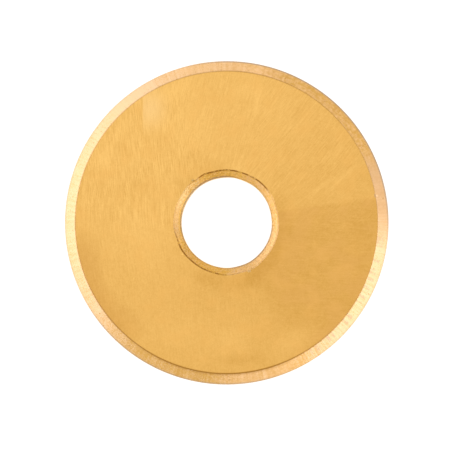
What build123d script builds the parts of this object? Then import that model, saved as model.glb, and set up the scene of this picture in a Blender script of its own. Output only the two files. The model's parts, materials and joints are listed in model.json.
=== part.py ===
from build123d import *
import os
from math import radians, sin, tan

# Scoring wheel of a hand tile cutter: one disc of sintered hard metal with a ground V edge.
# Millimetres. The origin is the centre of the bore, in the plane of the cutting edge.
# +Z runs along the axle, and the wheel lies on its lower side face.

# Driving dimensions
wheel_diameter = 22.0  # over the cutting edge
wheel_thickness = 2.0  # from one ground side face to the other
axle_diameter = 6.0  # pin of the cutter's wheel holder
axle_clearance = 0.075  # all round the pin, so that the wheel rolls freely
edge_angle = 106.0  # degrees between the two bevels, at the cutting edge
edge_radius = 0.03  # the honed nose of the cutting edge
shoulder_radius = 0.04  # where a bevel runs out into its side face
bore_chamfer = 0.5  # leg of the 45 degree chamfer at each mouth of the bore
mouth_radius = 0.03  # where a chamfer meets its side face
lip_radius = 0.06  # where a chamfer meets the wall of the bore

# Sizes that follow from them
half_thickness = wheel_thickness / 2
bevel_slope = radians(edge_angle / 2)
bevel_width = half_thickness / tan(bevel_slope)
nose_loss = edge_radius / sin(bevel_slope) - edge_radius  # what honing takes off the sharp V
sharp_radius = wheel_diameter / 2 + nose_loss
face_outer_radius = sharp_radius - bevel_width
bore_radius = axle_diameter / 2 + axle_clearance
face_inner_radius = bore_radius + bore_chamfer
bore_wall_end = half_thickness - bore_chamfer


def wheel_section():
    """Section of the ring on the +X side of the axle: bore wall, chamfers, side faces and V edge."""
    upper_corners = [
        (bore_radius, bore_wall_end),
        (face_inner_radius, half_thickness),
        (face_outer_radius, half_thickness),
    ]
    upper_radii = [lip_radius, mouth_radius, shoulder_radius]
    edge_corner = (sharp_radius, 0)
    lower_corners = [(radius, -height) for radius, height in reversed(upper_corners)]
    with BuildSketch(Plane.XZ) as section:
        with BuildLine():
            FilletPolyline(
                *upper_corners,
                edge_corner,
                *lower_corners,
                radius=[*upper_radii, edge_radius, *reversed(upper_radii)],
                close=True,
            )
        make_face()
    return section.sketch


def cutting_wheel():
    """The whole wheel, turned from its section about the axle."""
    return revolve(wheel_section(), axis=Axis.Z)


os.makedirs("parts", exist_ok=True)
export_step(cutting_wheel(), "parts/cutting_wheel.step")
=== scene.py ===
"""A tile cutter's scoring wheel, lapped, ground and gold-coated, lying on a pale table."""

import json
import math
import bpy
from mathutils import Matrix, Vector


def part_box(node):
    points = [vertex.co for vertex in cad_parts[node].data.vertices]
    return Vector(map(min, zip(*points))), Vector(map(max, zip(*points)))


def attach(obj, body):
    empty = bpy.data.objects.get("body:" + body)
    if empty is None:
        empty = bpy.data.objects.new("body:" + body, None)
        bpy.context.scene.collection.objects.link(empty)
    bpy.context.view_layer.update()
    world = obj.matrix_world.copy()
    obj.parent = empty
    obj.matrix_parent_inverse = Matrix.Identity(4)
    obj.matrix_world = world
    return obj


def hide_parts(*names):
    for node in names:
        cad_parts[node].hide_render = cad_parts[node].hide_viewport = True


bl_info = {
    "name": "Tile Cutter Wheel",
    "version": (1, 0, 0),
    "blender": (4, 5, 0),
    "location": "View3D > Sidebar > Cutter Wheel",
    "description": "Models a coated scoring wheel with ground bevels and lights it on a pale table",
    "category": "Add Mesh",
}

from collections import namedtuple

import bmesh
import bpy
from mathutils import Euler, Vector

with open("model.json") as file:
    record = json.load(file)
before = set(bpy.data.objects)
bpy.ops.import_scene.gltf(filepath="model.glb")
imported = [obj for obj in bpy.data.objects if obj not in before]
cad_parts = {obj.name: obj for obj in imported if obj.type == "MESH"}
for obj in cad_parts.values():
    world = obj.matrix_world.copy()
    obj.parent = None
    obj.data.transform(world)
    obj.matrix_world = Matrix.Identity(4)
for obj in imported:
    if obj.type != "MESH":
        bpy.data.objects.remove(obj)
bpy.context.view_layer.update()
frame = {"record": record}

CAD_NODE = "cutting_wheel"
PIECE_NAME = "scoring_wheel"
MM = 0.001  # metres in a millimetre

cad_low, cad_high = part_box(CAD_NODE)
bore_mount = next(mount for mount in frame["record"]["mounts"] if mount["kind"] == "bore")


class WheelSizes(bpy.types.PropertyGroup):
    """Sizes of the wheel: lengths in metres, and the angle in radians."""

    diameter: bpy.props.FloatProperty(
        name="Diameter",
        description="Over the cutting edge",
        default=2 * cad_high.x,
        unit="LENGTH",
        precision=5,
    )
    thickness: bpy.props.FloatProperty(
        name="Thickness",
        description="From one side face to the other",
        default=cad_high.z - cad_low.z,
        unit="LENGTH",
        precision=5,
    )
    bore: bpy.props.FloatProperty(
        name="Bore",
        description="Diameter of the hole for the axle",
        default=2 * bore_mount["dims"]["r_mm"] * MM,
        unit="LENGTH",
        precision=5,
    )
    chamfer: bpy.props.FloatProperty(
        name="Bore chamfer",
        description="Leg of the 45 degree chamfer at each mouth of the bore",
        default=0.5 * MM,
        unit="LENGTH",
        precision=5,
    )
    edge_angle: bpy.props.FloatProperty(
        name="Edge angle",
        description="Between the two bevels, at the cutting edge",
        default=math.radians(106),
        subtype="ANGLE",
        unit="ROTATION",
    )
    edge_radius: bpy.props.FloatProperty(
        name="Edge radius",
        description="Nose of the honed cutting edge",
        default=0.03 * MM,
        unit="LENGTH",
        precision=6,
    )
    shoulder_radius: bpy.props.FloatProperty(
        name="Shoulder radius",
        description="Rounding where a bevel runs out into its side face",
        default=0.04 * MM,
        unit="LENGTH",
        precision=6,
    )
    mouth_radius: bpy.props.FloatProperty(
        name="Mouth radius",
        description="Rounding where a bore chamfer meets its side face",
        default=0.03 * MM,
        unit="LENGTH",
        precision=6,
    )
    lip_radius: bpy.props.FloatProperty(
        name="Lip radius",
        description="Rounding where a bore chamfer meets the wall of the bore",
        default=0.06 * MM,
        unit="LENGTH",
        precision=6,
    )


class WheelColours(bpy.types.PropertyGroup):
    """Colours of the nitride coat on the differently finished surfaces, several of them painted light
    and shade, and of the table.
    """

    deep_gold: bpy.props.FloatVectorProperty(
        name="Deep gold",
        description="Coat on the side faces where the lapping marks lie dark",
        default=(0.65, 0.338, 0.067),
        subtype="COLOR",
        min=0,
        max=1,
    )
    pale_gold: bpy.props.FloatVectorProperty(
        name="Pale gold",
        description="Coat on the side faces where the lapping marks catch the light",
        default=(0.94, 0.554, 0.161),
        subtype="COLOR",
        min=0,
        max=1,
    )
    rose_gold: bpy.props.FloatVectorProperty(
        name="Rose gold",
        description="Blush in the coat on the side faces",
        default=(0.87, 0.47, 0.12),
        subtype="COLOR",
        min=0,
        max=1,
    )
    # Painted shade: a rose colour for the dull stretch and the crescent of the side faces
    dull_rose: bpy.props.FloatVectorProperty(
        name="Dull rose",
        description="Coat on the side faces where the lapping left it matt",
        default=(0.77, 0.41, 0.115),
        subtype="COLOR",
        min=0,
        max=1,
    )
    # Painted glare: the colour of the highlight on the side faces
    face_glare: bpy.props.FloatVectorProperty(
        name="Face glare",
        description="Coat on the side faces where it is rubbed nearly white",
        default=(0.96, 0.66, 0.31),
        subtype="COLOR",
        min=0,
        max=1,
    )
    # The bevels run from mustard to cream with their painted light and shade; cream also paints a
    # highlight on the chip in the shoulder
    bevel_mustard: bpy.props.FloatVectorProperty(
        name="Bevel mustard",
        description="Coat on the dull stretches of the ground bevels",
        default=(0.72, 0.407, 0.09),
        subtype="COLOR",
        min=0,
        max=1,
    )
    bevel_cream: bpy.props.FloatVectorProperty(
        name="Bevel cream",
        description="Coat on the bright stretches of the ground bevels",
        default=(0.93, 0.635, 0.36),
        subtype="COLOR",
        min=0,
        max=1,
    )
    bevel_peach: bpy.props.FloatVectorProperty(
        name="Bevel peach",
        description="Blush on the ground bevels between dull and bright stretches",
        default=(0.98, 0.62, 0.305),
        subtype="COLOR",
        min=0,
        max=1,
    )
    bevel_dust: bpy.props.FloatVectorProperty(
        name="Bevel dust",
        description="Greyed coat on the ground bevels where a dull stretch ends",
        default=(0.74, 0.468, 0.25),
        subtype="COLOR",
        min=0,
        max=1,
    )
    chamfer_orange: bpy.props.FloatVectorProperty(
        name="Chamfer orange",
        description="Coat on the pressed chamfers and the wall of the bore",
        default=(1.0, 0.645, 0.13),
        subtype="COLOR",
        min=0,
        max=1,
    )
    # Painted light: the colour of the lit stretches of the pressed chamfers
    chamfer_pale: bpy.props.FloatVectorProperty(
        name="Chamfer pale",
        description="Rubbed coat on the pressed chamfers",
        default=(0.99, 0.68, 0.325),
        subtype="COLOR",
        min=0,
        max=1,
    )
    # Painted highlight: the colour of the brightest spots on the pressed chamfers
    chamfer_cream: bpy.props.FloatVectorProperty(
        name="Chamfer cream",
        description="Brightest coat on the pressed chamfers, where they are rubbed most",
        default=(1.0, 0.80, 0.38),
        subtype="COLOR",
        min=0,
        max=1,
    )
    chamfer_grey: bpy.props.FloatVectorProperty(
        name="Chamfer grey",
        description="Thin coat on the pressed chamfers, with the hard metal showing through",
        default=(0.83, 0.59, 0.345),
        subtype="COLOR",
        min=0,
        max=1,
    )
    # Painted shade: brown by the shoulders, the face's rim and the mouths and over stretches of the
    # chamfers; also the brown of the pits in the bevels
    edge_brown: bpy.props.FloatVectorProperty(
        name="Edge brown",
        description="Burnt coat by the shoulders and mouths, and where it is tarnished",
        default=(0.44, 0.20, 0.03),
        subtype="COLOR",
        min=0,
        max=1,
    )
    # Grey of the bare metal in the deepest scallops and at the cutting edge, and of painted shade at
    # the cutting edge and along the lips
    edge_grey: bpy.props.FloatVectorProperty(
        name="Edge grey",
        description="Bare hard metal at the cutting edge, the lips and the deepest grinding ticks",
        default=(0.40, 0.29, 0.21),
        subtype="COLOR",
        min=0,
        max=1,
    )
    table: bpy.props.FloatVectorProperty(
        name="Table",
        description="Pale table that the wheel lies on",
        default=(0.9, 0.9, 0.9),
        subtype="COLOR",
        min=0,
        max=1,
    )


class WheelStage(bpy.types.PropertyGroup):
    """Camera and studio light."""

    lens: bpy.props.FloatProperty(
        name="Lens",
        description="Focal length of the camera, in millimetres",
        default=350,
        min=20,
        unit="CAMERA",
    )
    distance: bpy.props.FloatProperty(
        name="Camera distance",
        description="From the wheel to the camera",
        default=0.2974,
        unit="LENGTH",
    )
    lean_down: bpy.props.FloatProperty(
        name="Lean down",
        description="How far the camera leans from straight above towards -Y",
        default=math.radians(2.0),
        subtype="ANGLE",
        unit="ROTATION",
    )
    lean_right: bpy.props.FloatProperty(
        name="Lean right",
        description="How far the camera leans from straight above towards +X",
        default=math.radians(0.6),
        subtype="ANGLE",
        unit="ROTATION",
    )
    room_light: bpy.props.FloatProperty(
        name="Room light",
        description="Radiance of the pale room around the table",
        default=0.65,
        min=0,
    )


# Modelling. The wheel is built at a thousand times its size, in units of a millimetre,
# where Blender's tools keep their precision, and is scaled down last.

TURNS = 960  # vertices round each ring
NEAR = 1e-3  # how close two places lie that count as one
INNER_LAND = 0.35  # width of the band of fine mesh beside the mouth
OUTER_LAND = 0.2  # width of the one beside the shoulder
UPPER, LOWER = 1, -1  # sign of a height on each side of the wheel
LOWER_WEAR_TURN = 140  # degrees by which the lower side's wear is turned from the upper side's

Ring = namedtuple("Ring", "radius height")

# Uneven pressing of the chamfers' mouths: azimuth in degrees, then how far the mouth lies
# outside its circle and how far along it this reaches, in millimetres.
MOUTH_SWELLS = (
    (12, -0.045, 1.6),
    (70, -0.03, 1.2),
    (115, 0.05, 0.6),
    (137, 0.03, 0.8),
    (166, 0.03, 0.9),
    (183, 0.04, 0.9),
    (213, 0.04, 0.9),
    (270, 0.05, 1.1),
    (302, 0.06, 1.1),
)

# Chips: corner, azimuth in degrees, then how far the corner is pushed outwards and up,
# and how far the chip reaches, in millimetres.
CHIPS = (
    ("mouth", 129, 0.03, -0.02, 0.12),
    ("mouth", 295, -0.04, -0.04, 0.14),
    ("lip", 163, 0.04, -0.04, 0.12),
    ("shoulder", 10, -0.02, -0.02, 0.1),
)


def section_rings(sizes):
    """The wheel's corners, from the upper lip of the bore out to the cutting edge, in millimetres."""
    half = sizes.thickness / MM / 2
    bore = sizes.bore / MM / 2
    chamfer = sizes.chamfer / MM
    slope = sizes.edge_angle / 2
    nose = sizes.edge_radius / MM
    nose_loss = nose / math.sin(slope) - nose  # what honing takes off the sharp V
    edge = sizes.diameter / MM / 2 + nose_loss
    shoulder = edge - half / math.tan(slope)
    return {
        "lip": Ring(bore, half - chamfer),
        "mouth": Ring(bore + chamfer, half),
        "inner land": Ring(bore + chamfer + INNER_LAND, half),
        "outer land": Ring(shoulder - OUTER_LAND, half),
        "shoulder": Ring(shoulder, half),
        "edge": Ring(edge, 0),
    }


def on_side(ring, side):
    """A corner of the upper side, or the one opposite it on the lower side."""
    return Ring(ring.radius, side * ring.height)


def place_of(vertex):
    """Radius and height of a vertex."""
    return Ring(math.hypot(vertex.co.x, vertex.co.y), vertex.co.z)


def select_edges(mesh, chosen):
    """Selects just the edges whose two ends, as radius and height, pass a test."""
    bpy.ops.mesh.select_all(action="DESELECT")
    shell = bmesh.from_edit_mesh(mesh)
    places = {vertex: place_of(vertex) for vertex in shell.verts}
    found = [edge for edge in shell.edges if chosen(*(places[vertex] for vertex in edge.verts))]
    if not found:
        raise RuntimeError("The wheel has no edge where one was to be worked on")
    for edge in found:
        edge.select_set(True)
    bmesh.update_edit_mesh(mesh)


def turn_blank(rings):
    """Draws the wheel's section ring by ring, from a circle at the bore, and closes it."""
    *upper, rim = rings.values()
    first, *others = [on_side(ring, LOWER) for ring in upper]
    corners = [*upper, rim, *reversed(others)]
    start = (0, 0, first.height)
    bpy.ops.mesh.primitive_circle_add(vertices=TURNS, radius=first.radius, location=start)
    bpy.ops.object.transform_apply(location=True, rotation=False, scale=False)
    wheel = bpy.context.object
    bpy.ops.object.mode_set(mode="EDIT")
    bpy.ops.mesh.select_mode(type="EDGE")
    bpy.ops.mesh.select_all(action="SELECT")
    before = first
    for ring in corners:
        rise = (0, 0, ring.height - before.height)
        growth = ring.radius / before.radius
        bpy.ops.mesh.extrude_edges_move(TRANSFORM_OT_translate={"value": rise})
        bpy.ops.transform.resize(value=(growth, growth, 1), center_override=(0, 0, 0))
        before = ring
    bpy.ops.mesh.select_all(action="DESELECT")
    shell = bmesh.from_edit_mesh(wheel.data)
    for edge in shell.edges:
        edge.select_set(edge.is_boundary)
    bmesh.update_edit_mesh(wheel.data)
    bpy.ops.mesh.bridge_edge_loops()
    bpy.ops.mesh.select_all(action="SELECT")
    bpy.ops.mesh.normals_make_consistent(inside=False)
    return wheel


def round_ring(mesh, ring, radius, turn, segments):
    """Rounds one circular corner, where the section turns by an angle."""
    select_edges(mesh, lambda *ends: all(math.dist(end, ring) < NEAR for end in ends))
    bpy.ops.mesh.bevel(
        offset_type="OFFSET",
        offset=radius * math.tan(turn / 2),
        segments=segments,
        profile=0.5,
        affect="EDGES",
    )


def cut_between(mesh, inner, outer, cuts):
    """Cuts new rings into the surface between two corners, rounded or not."""
    span = math.dist(inner, outer)
    shortest = 0.6 * span
    most_missing = 0.4 * span

    def crosses(*ends):
        near, far = sorted(ends)
        missing = math.dist(near, inner) + math.dist(far, outer)
        return math.dist(near, far) > shortest and missing < most_missing

    select_edges(mesh, crosses)
    bpy.ops.mesh.subdivide(number_cuts=cuts)


def push(mesh, ring, azimuth, outward, rise, reach):
    """Pushes the vertex nearest to a place on a corner, and drags its neighbours along."""
    turn = math.radians(azimuth)
    heading = Vector((math.cos(turn), math.sin(turn), 0))
    target = ring.radius * heading + Vector((0, 0, ring.height))
    bpy.ops.mesh.select_all(action="DESELECT")
    shell = bmesh.from_edit_mesh(mesh)
    nearest = min(shell.verts, key=lambda vertex: (vertex.co - target).length_squared)
    nearest.select_set(True)
    bmesh.update_edit_mesh(mesh)
    bpy.ops.transform.translate(
        value=outward * heading + Vector((0, 0, rise)),
        use_proportional_edit=True,
        use_proportional_connected=True,
        proportional_edit_falloff="SMOOTH",
        proportional_size=reach,
    )


def wear_side(mesh, rings, side, turned):
    """Makes the chamfer's mouth on one side uneven, and chips some corners."""
    for azimuth, outward, reach in MOUTH_SWELLS:
        push(mesh, on_side(rings["mouth"], side), azimuth + turned, outward, 0, reach)
    for corner, azimuth, outward, rise, reach in CHIPS:
        push(mesh, on_side(rings[corner], side), azimuth + turned, outward, side * rise, reach)


def check_whole(mesh, sizes):
    """Raises an error where the finished wheel isn't closed, or reaches past its sizes."""
    shell = bmesh.new()
    shell.from_mesh(mesh)
    closed = all(edge.is_manifold for edge in shell.edges)
    shell.free()
    if not closed:
        raise RuntimeError("The wheel's mesh isn't closed")
    reach = max(vertex.co.xy.length for vertex in mesh.vertices)
    rise = max(abs(vertex.co.z) for vertex in mesh.vertices)
    spare = NEAR * MM
    if reach > sizes.diameter / 2 + spare or rise > sizes.thickness / 2 + spare:
        raise RuntimeError("The wheel reaches past its diameter or thickness")


def add_wheel_mesh(sizes):
    """The whole wheel as a closed mesh, with its corners rounded and worn."""
    rings = section_rings(sizes)
    wheel = turn_blank(rings)
    mesh = wheel.data
    chamfer_turn = math.pi / 4
    # Corner, radius of its rounding, how far the section turns there, and segments
    roundings = (
        ("lip", sizes.lip_radius, chamfer_turn, 3),
        ("mouth", sizes.mouth_radius, chamfer_turn, 3),
        ("shoulder", sizes.shoulder_radius, sizes.edge_angle / 2, 6),
    )
    edge_turn = math.pi - sizes.edge_angle
    edge_segments = 5
    # Two corners, and how many rings are cut in between them
    cuts = (
        ("lip", "mouth", 9),
        ("mouth", "inner land", 5),
        ("inner land", "outer land", 5),
        ("outer land", "shoulder", 2),
        ("shoulder", "edge", 4),
    )
    for side in (UPPER, LOWER):
        for name, radius, turn, segments in roundings:
            round_ring(mesh, on_side(rings[name], side), radius / MM, turn, segments)
    round_ring(mesh, rings["edge"], sizes.edge_radius / MM, edge_turn, edge_segments)
    for side in (UPPER, LOWER):
        for inner, outer, count in cuts:
            cut_between(mesh, on_side(rings[inner], side), on_side(rings[outer], side), count)
    bpy.ops.mesh.select_mode(type="VERT")
    wear_side(mesh, rings, UPPER, 0)
    wear_side(mesh, rings, LOWER, LOWER_WEAR_TURN)
    bpy.ops.object.mode_set(mode="OBJECT")
    bpy.ops.transform.resize(value=(MM, MM, MM), center_override=(0, 0, 0))
    bpy.ops.object.transform_apply(location=True, rotation=True, scale=True)
    bpy.ops.object.shade_smooth()
    check_whole(mesh, sizes)
    return wheel


# Materials

# Lapping marks on a side face: azimuth that they run along, azimuth of the middle of their
# stretch, half of it at full strength and half of it in all, in degrees, and how strongly
# they show.
LAPPING = (
    (96, 145, 22, 46, 1.4),
    (98, 190, 20, 44, 0.6),
    (74, 97, 15, 36, 0.75),
    (52, 50, 15, 34, 0.85),
    (41, 18, 8, 26, 0.5),
    (-4, 335, 24, 44, 0.5),
    (95, 262, 25, 50, 0.4),
    (103, 222, 12, 32, 0.2),
)

FINE_MARK = (0.9, 0.055)  # length and width, in millimetres
BOLD_MARK = (1.6, 0.12)
BOLD_MARK_TURN = 1.5  # degrees between the bold marks and the fine ones

# Light and dull patches of a side face, partly the lapping's own tone and partly painted light and
# shade:
# middle and half size in millimetres, turn in degrees, and change of tone.
FACE_PATCHES = (
    ((-8.3, 4.5), (0.9, 1.3), -20, 0.3),
    ((-7.2, 6.2), (0.5, 1.4), -30, 0.2),
    ((2.1, 8.2), (0.45, 1.9), -6, 0.22),
    ((1.4, 9.1), (2.2, 1.2), -5, 0.15),
    ((-2.6, 6.6), (2.6, 2.2), 0, 0.1),
    ((6.3, 2.3), (1.9, 0.3), 40, 0.26),
    ((7.7, 2.9), (2.2, 0.25), 42, 0.28),
    ((7.2, 4.6), (1.6, 0.5), 47, 0.12),
    ((4.6, -8.0), (2.6, 1.5), 25, 0.4),
    ((-3.4, 9.0), (2.2, 1.0), 20, 0.3),
    ((0.6, -8.0), (2.2, 1.3), 0, 0.15),
    ((-3.4, -7.6), (2.0, 1.6), 10, 0.1),
    ((-5.8, -0.9), (2.4, 4.6), 8, 0.14),
    ((4.9, 7.6), (1.0, 0.45), 50, -0.2),
    ((-2.2, 4.3), (1.3, 0.8), 20, -0.15),
    ((-6.3, 1.9), (2.4, 2.2), 0, -0.1),
    ((-1.5, -7.5), (4.5, 3.0), 0, 0.12),
    ((-1.6, -3.8), (1.4, 0.6), -20, -0.22),
    ((0.9, -9.3), (2.2, 0.6), 3, -0.25),
    ((1.0, -4.3), (2.6, 1.0), 5, -0.25),
    ((8.9, -0.6), (1.3, 1.1), 0, -0.12),
    ((-2.98, -2.17), (0.13, 0.1), 36, 0.9),
)

# Stretches round the wheel where something shows more, or less: azimuth of the middle, half of
# the stretch at full strength and half of it in all, in degrees, and what it adds. Most place painted
# light and shade: shade beside the bore, at the face's rim, the shoulders, the cutting edge, the
# mouths, the lips and over the chamfers, and light on the bevels and chamfers.
SHADE_BESIDE_BORE = ((122, 16, 40, 1), (338, 30, 60, 1.1), (275, 20, 40, 0.5))
SHADED_FACE_RIM = ((75, 30, 60, 0.2), (258, 32, 60, 0.55), (305, 20, 40, 0.25))
BRIGHT_BEVEL = ((168, 38, 71, 0.78), (334, 19, 39, 0.85), (112, 14, 34, 0.35))
COMBED_BEVEL = ((175, 40, 65, -0.45), (238, 15, 30, -0.3), (292, 12, 24, 0.6))
BLUSHING_BEVEL = ((93, 10, 28, 1), (284, 8, 21, 0.9))
SHADED_SHOULDER = ((250, 50, 80, 0.2), (20, 30, 60, -0.3), (355, 10, 24, -0.18), (120, 10, 40, -0.15))
BARE_AND_SHADED_EDGE = ((50, 34, 60, 0.5), (252, 22, 48, 0.3))
PALE_CHAMFER = ((12, 28, 72, 0.54), (312, 24, 50, 0.7), (139, 10, 27, 0.35), (195, 25, 50, 0.2))
SHADED_MOUTH = ((80, 37, 46, 0.75), (230, 30, 42, 0.6), (355, 14, 36, 0.2))
SHADED_LIP = ((142, 46, 72, 0.63), (316, 28, 45, 0.5))
SHADED_CHAMFER = (
    (117, 16, 36, 0.19),
    (155, 50, 105, 0.13),
    (345, 28, 48, 0.15),
    (238, 16, 40, 0.06),
)

EDGE_CIRCLE = 11  # radius of the cutting edge, in millimetres, for patterns that run along it
ENDLESS = 1000  # half size of a patch along the axle, so long that height doesn't matter


def find_socket(sockets, key):
    """The socket at a place in the list, or with an identifier or name."""
    if isinstance(key, int):
        return sockets[key]
    return next(socket for socket in sockets if key in (socket.identifier, socket.name))


class Signal:
    """One output of a finish's nodes. Arithmetic on it adds Math nodes."""

    def __init__(self, finish, socket):
        self.finish = finish
        self.socket = socket

    def __add__(self, other):
        return self.finish.math("ADD", self, other)

    def __sub__(self, other):
        return self.finish.math("SUBTRACT", self, other)

    def __rsub__(self, other):
        return self.finish.math("SUBTRACT", other, self)

    def __mul__(self, other):
        return self.finish.math("MULTIPLY", self, other)

    __radd__ = __add__
    __rmul__ = __mul__


class Finish:
    """A material, and the ways its nodes are added. Lengths are in millimetres."""

    def __init__(self, name):
        self.material = bpy.data.materials.new(name)
        self.material.use_nodes = True
        self.tree = self.material.node_tree
        self.tree.nodes.clear()

    def add(self, kind, settings, inputs, output=0):
        """Adds a node: its settings first, then the values or signals of its sockets."""
        node = self.tree.nodes.new(kind)
        for name, value in settings.items():
            setattr(node, name, value)
        keyed = inputs.items() if isinstance(inputs, dict) else enumerate(inputs)
        for key, value in keyed:
            socket = find_socket(node.inputs, key)
            if isinstance(value, Signal):
                self.tree.links.new(value.socket, socket)
            else:
                socket.default_value = value
        return Signal(self, find_socket(node.outputs, output)) if node.outputs else None

    def math(self, operation, *values):
        return self.add("ShaderNodeMath", {"operation": operation}, values)

    def vector_math(self, operation, *values, output="Vector"):
        return self.add("ShaderNodeVectorMath", {"operation": operation}, values, output)

    def part(self, vector, axis):
        """One of the three numbers of a vector: X, Y or Z."""
        return self.add("ShaderNodeSeparateXYZ", {}, [vector], axis)

    def place(self):
        """The point being shaded, from the wheel's centre."""
        metres = self.add("ShaderNodeTexCoord", {}, {}, "Object")
        return self.vector_math("MULTIPLY", metres, (1 / MM, 1 / MM, 1 / MM))

    def level(self, place):
        """A place brought into the plane of the cutting edge."""
        return self.vector_math("MULTIPLY", place, (1, 1, 0))

    def radius(self, place):
        """Distance from the axle's line."""
        return self.vector_math("LENGTH", self.level(place), output="Value")

    def outward(self, place):
        """Direction away from the axle's line."""
        return self.vector_math("NORMALIZE", self.level(place))

    def height(self, place):
        """Distance from the plane of the cutting edge, to either side."""
        return self.math("ABSOLUTE", self.part(place, "Z"))

    def step(self, value, low, high):
        """0 at low and 1 at high, with a smooth change between them; low may be above high."""
        settings = {"interpolation_type": "SMOOTHSTEP", "clamp": True}
        if low < high:
            return self.add("ShaderNodeMapRange", settings, [value, low, high])
        return 1 - self.add("ShaderNodeMapRange", settings, [value, high, low])

    def band(self, value, middle, half_width):
        """1 near a value, falling to 0 at half a width to either side of it."""
        full = 0.3 * half_width
        return self.step(self.math("ABSOLUTE", value - middle), half_width, full)

    def towards(self, outward, azimuth):
        """How far a direction agrees with one at an azimuth in degrees, from -1 to 1."""
        turn = math.radians(azimuth)
        compass = (math.cos(turn), math.sin(turn), 0)
        return self.vector_math("DOT_PRODUCT", outward, compass, output="Value")

    def sector(self, outward, azimuth, full, reach):
        """1 within full degrees of an azimuth, falling to 0 at reach degrees from it."""
        low, high = (math.cos(math.radians(angle)) for angle in (reach, full))
        return self.step(self.towards(outward, azimuth), low, high)

    def around(self, outward, level, stretches):
        """A level that changes round the wheel, by what each stretch adds to it."""
        for azimuth, full, reach, share in stretches:
            level = level + share * self.sector(outward, azimuth, full, reach)
        return level

    def patch(self, place, middle, half_size, turn=0):
        """1 at a point of the face, falling to 0 on an ellipse turned by degrees."""
        inputs = {
            "Vector": place,
            "Location": (*middle, 0),
            "Rotation": (0, 0, math.radians(turn)),
            "Scale": (*half_size, ENDLESS),
        }
        local = self.add("ShaderNodeMapping", {"vector_type": "TEXTURE"}, inputs)
        return self.step(self.vector_math("LENGTH", local, output="Value"), 1, 0)

    def noise(self, vector, size, detail=2.0):
        """Cloudy noise about 0, mostly within 0.25 of it, with features of about a size."""
        inputs = {"Vector": vector, "Scale": 1 / size, "Detail": detail}
        return self.add("ShaderNodeTexNoise", {}, inputs) - 0.5

    def streaks(self, place, azimuth, length, width, detail=1.0):
        """Noise about 0 that is drawn out along an azimuth of the face."""
        inputs = {
            "Vector": place,
            "Rotation": (0, 0, math.radians(azimuth)),
            "Scale": (length, width, width),
        }
        local = self.add("ShaderNodeMapping", {"vector_type": "TEXTURE"}, inputs)
        return self.noise(local, 1, detail)

    def mix(self, share, low, high):
        """Colour low where share is 0, and high where it is 1."""
        inputs = {"Factor_Float": share}
        for name, colour in (("A_Color", low), ("B_Color", high)):
            inputs[name] = colour if isinstance(colour, Signal) else (*colour, 1)
        return self.add("ShaderNodeMix", {"data_type": "RGBA"}, inputs, "Result_Color")

    def coated(self, colour, roughness, relief):
        """Closes the material as coated metal, with its relief as a height."""
        bump = self.add("ShaderNodeBump", {}, {"Height": relief, "Distance": MM, "Strength": 1.0})
        inputs = {"Base Color": colour, "Metallic": 1.0, "Roughness": roughness, "Normal": bump}
        return self.close(self.add("ShaderNodeBsdfPrincipled", {}, inputs))

    def close(self, shader):
        """Puts a shader on the surface, and gives the finished material."""
        self.add("ShaderNodeOutputMaterial", {}, {"Surface": shader})
        return self.material


def lapping_marks(finish, place, outward):
    """The marks that lapping leaves on a side face, about 0, and the glints of the boldest."""
    mottle = finish.noise(place, 0.3, 1.0)
    grain = finish.noise(place, 0.08, 1.0)
    marks = 0.7 * grain + 0.3 * mottle
    glints = 0.0
    for azimuth, middle, full, reach, share in LAPPING:
        strength = share * finish.sector(outward, middle, full, reach)
        fine = finish.streaks(place, azimuth, *FINE_MARK)
        bold = finish.streaks(place, azimuth + BOLD_MARK_TURN, *BOLD_MARK, detail=0.0)
        marks = marks + 1.1 * strength * fine
        glints = glints + strength * finish.step(bold, 0.17, 0.32)
    return marks, glints


def dull_stretch(finish, place, outward):
    """1 where a side face is dull from its lapping and darker with painted shade: to the right, below
    a ragged and slightly leaning border.
    """
    lean = math.radians(8.5)
    border_height = 0.165
    border_top, border_bottom = 0.15, -0.19
    across = (-math.sin(lean), math.cos(lean), 0)
    above = finish.vector_math("DOT_PRODUCT", place, across, output="Value") - border_height
    ragged = 0.14 * finish.streaks(place, 7.0, 4.0, 0.3)
    below_border = finish.step(ragged + above, border_top, border_bottom)
    return below_border * finish.sector(outward, 343, 24, 55)


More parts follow.
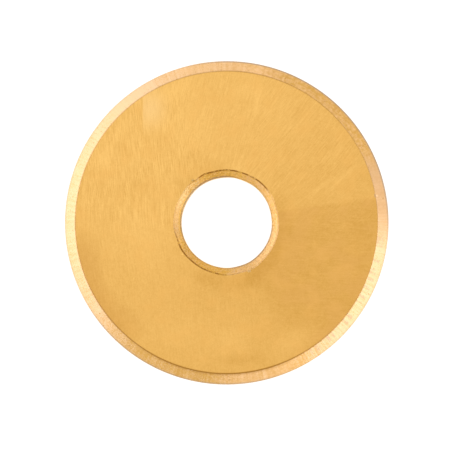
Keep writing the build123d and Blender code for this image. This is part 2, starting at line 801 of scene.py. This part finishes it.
def lapped_face(colours):
    """Side face: fine straight lapping marks that run in different directions round the wheel."""
    finish = Finish("lapped gold")
    place = finish.place()
    radius = finish.radius(place)
    outward = finish.outward(place)
    cloud = finish.noise(place, 2.4)
    marks, glints = lapping_marks(finish, place, outward)
    dull = dull_stretch(finish, place, outward)

    # Painted glare: a highlight nearly white on a patch, cut off straight on its left
    rightward = finish.part(place, "X")
    highlit = finish.patch(place, (-5.2, 7.7), (1.7, 2.0)) * finish.step(rightward, -5.74, -5.62)
    # Painted shade: a darker crescent near the shoulder, and shade beside the mouth
    ragged_rim = finish.step(radius + 2 * cloud, 8.3, 10.2)
    crescent = ragged_rim * finish.sector(outward, 208, 12, 28)
    by_bore = finish.step(radius, 4.9, 3.8)
    shaded = by_bore * finish.around(outward, 0, SHADE_BESIDE_BORE)

    # Painted light: the side face is lighter towards the upper left and in the glare
    painted_light_upper_left = finish.towards(outward, 130)
    tone = 0.4 + 0.24 * painted_light_upper_left + 0.35 * cloud + 0.4 * highlit
    for middle, half_size, turn, change in FACE_PATCHES:
        tone = tone + change * finish.patch(place, middle, half_size, turn)
    # Painted shade: darker in the dull stretch, in the crescent and beside the mouth
    tone = tone - 0.3 * dull - 0.55 * crescent - 0.3 * shaded + marks + 0.2 * glints

    colour = finish.mix(0.3 + 0.7 * tone, colours.deep_gold, colours.pale_gold)
    blush = finish.step(finish.noise(place, 1.3), -0.02, 0.2)
    colour = finish.mix(0.3 * blush, colour, colours.rose_gold)
    # Painted shade in a blotchy rose tone over the dull stretch and the crescent
    blotch = finish.step(finish.noise(place, 1.6), -0.12, 0.15)
    colour = finish.mix(0.35 * dull * blotch + 0.3 * crescent, colour, colours.dull_rose)
    # Painted glare mixed into the side face
    colour = finish.mix(0.35 * highlit, colour, colours.face_glare)
    # Painted shade: a dark brown line on the face just inside the shoulder
    by_shoulder = finish.step(radius, 10.17, 10.24)
    painted_rim_shade = by_shoulder * finish.around(outward, 0.12, SHADED_FACE_RIM)
    colour = finish.mix(painted_rim_shade, colour, colours.edge_brown)
    roughness = 0.3 + 0.06 * cloud - 0.08 * marks
    relief = 0.003 * marks
    return finish.coated(colour, roughness, relief)


def ground_bevel(colours):
    """Bevel: ground across, dull and bright by turns with painted light and shade, painted shade by
    the shoulder, and bare metal with painted shade at the edge.
    """
    finish = Finish("ground gold")
    place = finish.place()
    outward = finish.outward(place)
    height = finish.height(place)
    on_edge = finish.vector_math("MULTIPLY", outward, (EDGE_CIRCLE, EDGE_CIRCLE, EDGE_CIRCLE))
    ticks = finish.noise(on_edge, 0.16, 1.0)
    cloud = finish.noise(place, 1.0)
    grain = finish.noise(place, 0.08, 1.0)
    tint = finish.noise(place, 0.25, 1.0)

    # Painted light and shade: bright stretches where the lamps fall and dull ones where they don't,
    # with ticks from grinding across
    dull = finish.sector(outward, 41, 30, 50)
    bright = finish.around(outward, 0.15, BRIGHT_BEVEL)
    combed = finish.around(outward, 0.9, COMBED_BEVEL)
    tone = bright - 0.35 * dull + combed * ticks + 2 * grain + 0.8 * cloud
    colour = finish.mix(tone, colours.bevel_mustard, colours.bevel_cream)
    inner_half = finish.step(height, 0.45, 0.6)
    blush = finish.around(outward, 0.25 * dull * (1 + inner_half), BLUSHING_BEVEL)
    colour = finish.mix(0.5 * blush + (0.75 + 0.5 * dull) * tint, colour, colours.bevel_peach)
    colour = finish.mix(0.75 * finish.sector(outward, 10, 4, 19), colour, colours.bevel_dust)

    # Scallops so deep that the coat is worn off them
    deep_ticks = finish.step(finish.noise(on_edge, 0.3, 0.0), 0.02, 0.12)
    off_edge = finish.step(height, 0.3, 0.5)
    scallops = deep_ticks * off_edge * finish.step(tint, -0.12, 0.05)
    scalloped = 0.38 * scallops * finish.sector(outward, 328, 20, 32)
    colour = finish.mix(scalloped, colour, colours.edge_grey)

    # Painted shade by the shoulder, and pits; bare metal with painted shade at the cutting edge; and
    # a painted highlight on the chip in the shoulder
    at_shoulder = finish.step(height, 0.9, 0.98)
    near_shoulder = finish.step(height, 0.72, 0.92)
    painted_shade_line = at_shoulder * finish.around(outward, 0.5, SHADED_SHOULDER)
    painted_shade_band = 0.35 * near_shoulder * finish.sector(outward, 266, 14, 36)
    pits = finish.step(finish.noise(place, 0.13, 0.0), 0.18, 0.28) * finish.step(cloud, 0, 0.15)
    colour = finish.mix(painted_shade_line + painted_shade_band + 0.5 * pits, colour, colours.edge_brown)
    # Bare metal with painted shade along the cutting edge
    at_edge = finish.step(height, 0.19, 0.08)
    bare_and_shaded = at_edge * finish.around(outward, 0.15, BARE_AND_SHADED_EDGE)
    colour = finish.mix(bare_and_shaded * (1 + ticks), colour, colours.edge_grey)
    # Painted highlight on the chip in the shoulder
    nick_highlight = finish.patch(place, (10.19, 1.79), (0.11, 0.13))
    colour = finish.mix(nick_highlight, colour, colours.bevel_cream)
    roughness = 0.5 - 0.3 * ticks
    relief = 0.008 * ticks + 0.006 * grain
    return finish.coated(colour, roughness, relief)


def pressed_chamfer(colours):
    """Chamfer and wall of the bore: as pressed, grainy, with faint rings, painted light, and painted
    shade at the corners.
    """
    finish = Finish("pressed gold")
    place = finish.place()
    outward = finish.outward(place)
    height = finish.height(place)
    along = finish.vector_math("MULTIPLY", place, (0.3, 0.3, 1))
    rings = finish.noise(along, 0.08, 1.0)
    grain = finish.noise(place, 0.09, 1.0)
    speckle = finish.noise(place, 0.15, 0.0)
    cloud = finish.noise(place, 0.6)
    left = finish.sector(outward, 168, 20, 36)
    calm = 1 - 0.45 * left
    outer_half = finish.step(height, 0.62, 0.74)

    # Flecked all round, greyer on the left, lighter with painted light in stretches, darker on the
    # inner half at the left, and with a painted highlight at the upper left
    flecks = calm * (1.2 * rings + grain + 0.7 * speckle)
    pale = finish.around(outward, 0.2, PALE_CHAMFER) - 0.4 * left * (1 - outer_half)
    colour = finish.mix(pale + 0.4 * cloud + flecks, colours.chamfer_orange, colours.chamfer_pale)
    colour = finish.mix(left * (0.2 + 0.25 * outer_half), colour, colours.chamfer_grey)
    # Painted highlight, bright and ragged, at the upper left of the chamfer
    highlit = finish.step(cloud + grain + speckle, -0.18, 0.2) * finish.sector(outward, 142, 8, 22)
    colour = finish.mix(0.6 * highlit, colour, colours.chamfer_cream)

    # Painted shade: a faint line all round the mouth, darker in dashes, along the lip, and in
    # stretches in between
    at_mouth = finish.step(height, 0.88, 0.94)
    at_lip = finish.band(height, 0.5, 0.12)
    dashes = finish.step(cloud + 0.6 * speckle, -0.18, -0.04)
    painted_shade_line = at_mouth * (0.2 + dashes * finish.around(outward, 0, SHADED_MOUTH))
    # Painted shade along the lip, in brown and grey
    painted_lip_shade = at_lip * finish.around(outward, 0.32, SHADED_LIP)
    # Painted shade over stretches of the chamfer, with the flecks
    painted_shade_and_flecks = finish.around(outward, 0, SHADED_CHAMFER) - calm * (0.5 * speckle + 0.28 * grain)
    colour = finish.mix(painted_shade_line + 0.2 * painted_lip_shade + painted_shade_and_flecks, colour, colours.edge_brown)
    colour = finish.mix(0.65 * painted_lip_shade, colour, colours.edge_grey)
    roughness = 0.58
    relief = calm * (0.014 * grain + 0.006 * rings)
    return finish.coated(colour, roughness, relief)


def table_top(colours):
    """Milk glass lit from below, so that the wheel hardly shades it."""
    finish = Finish("lit milk glass")
    scattering = 0.35
    scattered = (*(scattering * part for part in colours.table), 1)
    glow = (*colours.table, 1)
    inputs = {
        "Base Color": scattered,
        "Roughness": 0.9,
        "Emission Color": glow,
        "Emission Strength": 1.0,
    }
    return finish.close(finish.add("ShaderNodeBsdfPrincipled", {}, inputs))


def coat(wheel, rings, colours):
    """Gives each surface of the wheel its own finish."""
    for material in (lapped_face(colours), ground_bevel(colours), pressed_chamfer(colours)):
        wheel.data.materials.append(material)
    face_slot, bevel_slot, chamfer_slot = range(3)
    lowest_flat = (rings["shoulder"].height - NEAR) * MM
    halfway = (rings["mouth"].radius + rings["shoulder"].radius) / 2 * MM
    for polygon in wheel.data.polygons:
        if abs(polygon.center.z) > lowest_flat:
            polygon.material_index = face_slot
        elif polygon.center.xy.length > halfway:
            polygon.material_index = bevel_slot
        else:
            polygon.material_index = chamfer_slot


# Stage

# Softboxes: name, azimuth from +X towards +Y and elevation in degrees, distance from the wheel,
# width and height in metres, and radiance. Those at the sides are low and narrow, so that they
# light the bevels and chamfers but are hardly mirrored in the side face.
SOFTBOXES = (
    ("overhead softbox", 90, 90, 0.5, 0.6, 0.6, 0.42),
    ("left softbox", 170, 4.6, 0.6, 1.0, 0.09, 5.4),
    ("right softbox", -25, 4.6, 0.6, 0.85, 0.09, 4.9),
)

AIM = Vector((-0.116, -0.160, 0)) * MM  # what the camera looks at, just beside the centre
VIEW_START, VIEW_END = 0.01, 10  # how near and how far the camera sees, in metres
TABLE_WIDTH = 6  # metres
TABLE_GAP = 0.02 * MM  # keeps the table clear of the wheel's lower face


def add_softbox(name, azimuth, elevation, distance, width, height, radiance):
    """A rectangular light that faces the wheel."""
    turn, rise = math.radians(azimuth), math.radians(elevation)
    spot = distance * Vector(
        (math.cos(turn) * math.cos(rise), math.sin(turn) * math.cos(rise), math.sin(rise))
    )
    bpy.ops.object.light_add(type="AREA", location=spot)
    light = bpy.context.object
    light.name = name
    light.rotation_euler = spot.to_track_quat("Z", "Y").to_euler()
    light.data.shape = "RECTANGLE"
    light.data.size = width
    light.data.size_y = height
    light.data.energy = radiance * math.pi * width * height
    light.visible_camera = False


def add_camera(stage):
    """A camera that looks down on the wheel, leaning as the stage says."""
    lean = Euler((stage.lean_down, stage.lean_right, 0))
    back = Vector((0, 0, stage.distance))
    back.rotate(lean)
    bpy.ops.object.camera_add(location=AIM + back, rotation=lean)
    camera = bpy.context.object
    camera.data.lens = stage.lens
    camera.data.clip_start = VIEW_START
    camera.data.clip_end = VIEW_END
    bpy.context.scene.camera = camera


def light_room(radiance):
    """The same white light from all round."""
    world = bpy.data.worlds.new("room")
    world.use_nodes = True
    background = world.node_tree.nodes["Background"]
    background.inputs["Color"].default_value = (1, 1, 1, 1)
    background.inputs["Strength"].default_value = radiance
    bpy.context.scene.world = world


class MESH_OT_scoring_wheel_add(bpy.types.Operator):
    """Model the scoring wheel and give its surfaces their finishes"""

    bl_idname = "mesh.scoring_wheel_add"
    bl_label = "Scoring Wheel"
    bl_options = {"REGISTER", "UNDO"}

    def execute(self, context):
        sizes = context.scene.wheel_sizes
        bpy.ops.object.select_all(action="DESELECT")
        wheel = add_wheel_mesh(sizes)
        wheel.name = PIECE_NAME
        coat(wheel, section_rings(sizes), context.scene.wheel_colours)
        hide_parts(CAD_NODE)
        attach(wheel, "root")
        return {"FINISHED"}


class SCENE_OT_scoring_wheel_stage(bpy.types.Operator):
    """Lay the pale table, and set up the studio lights and the camera"""

    bl_idname = "scene.scoring_wheel_stage"
    bl_label = "Table, Lights and Camera"
    bl_options = {"REGISTER", "UNDO"}

    def execute(self, context):
        stage = context.scene.wheel_stage
        bpy.ops.object.select_all(action="DESELECT")
        bpy.ops.mesh.primitive_plane_add(size=TABLE_WIDTH, location=(0, 0, cad_low.z - TABLE_GAP))
        table = bpy.context.object
        table.name = "table"
        table.data.materials.append(table_top(context.scene.wheel_colours))
        for softbox in SOFTBOXES:
            add_softbox(*softbox)
        light_room(stage.room_light)
        add_camera(stage)
        context.scene.view_settings.view_transform = "Standard"
        return {"FINISHED"}


class VIEW3D_PT_scoring_wheel(bpy.types.Panel):
    """Sidebar panel with the wheel's sizes, colours and stage"""

    bl_idname = "VIEW3D_PT_scoring_wheel"
    bl_label = "Scoring Wheel"
    bl_space_type = "VIEW_3D"
    bl_region_type = "UI"
    bl_category = "Cutter Wheel"

    def draw(self, context):
        layout = self.layout
        layout.operator(MESH_OT_scoring_wheel_add.bl_idname)
        layout.operator(SCENE_OT_scoring_wheel_stage.bl_idname)
        for group in (
            context.scene.wheel_sizes,
            context.scene.wheel_colours,
            context.scene.wheel_stage,
        ):
            box = layout.box()
            for name in group.__annotations__:
                box.prop(group, name)


classes = (
    WheelSizes,
    WheelColours,
    WheelStage,
    MESH_OT_scoring_wheel_add,
    SCENE_OT_scoring_wheel_stage,
    VIEW3D_PT_scoring_wheel,
)


def register():
    for cls in classes:
        bpy.utils.register_class(cls)
    bpy.types.Scene.wheel_sizes = bpy.props.PointerProperty(type=WheelSizes)
    bpy.types.Scene.wheel_colours = bpy.props.PointerProperty(type=WheelColours)
    bpy.types.Scene.wheel_stage = bpy.props.PointerProperty(type=WheelStage)


def unregister():
    del bpy.types.Scene.wheel_stage
    del bpy.types.Scene.wheel_colours
    del bpy.types.Scene.wheel_sizes
    for cls in reversed(classes):
        bpy.utils.unregister_class(cls)


def main():
    register()
    bpy.ops.mesh.scoring_wheel_add()
    bpy.ops.scene.scoring_wheel_stage()


if __name__ == "__main__":
    main()
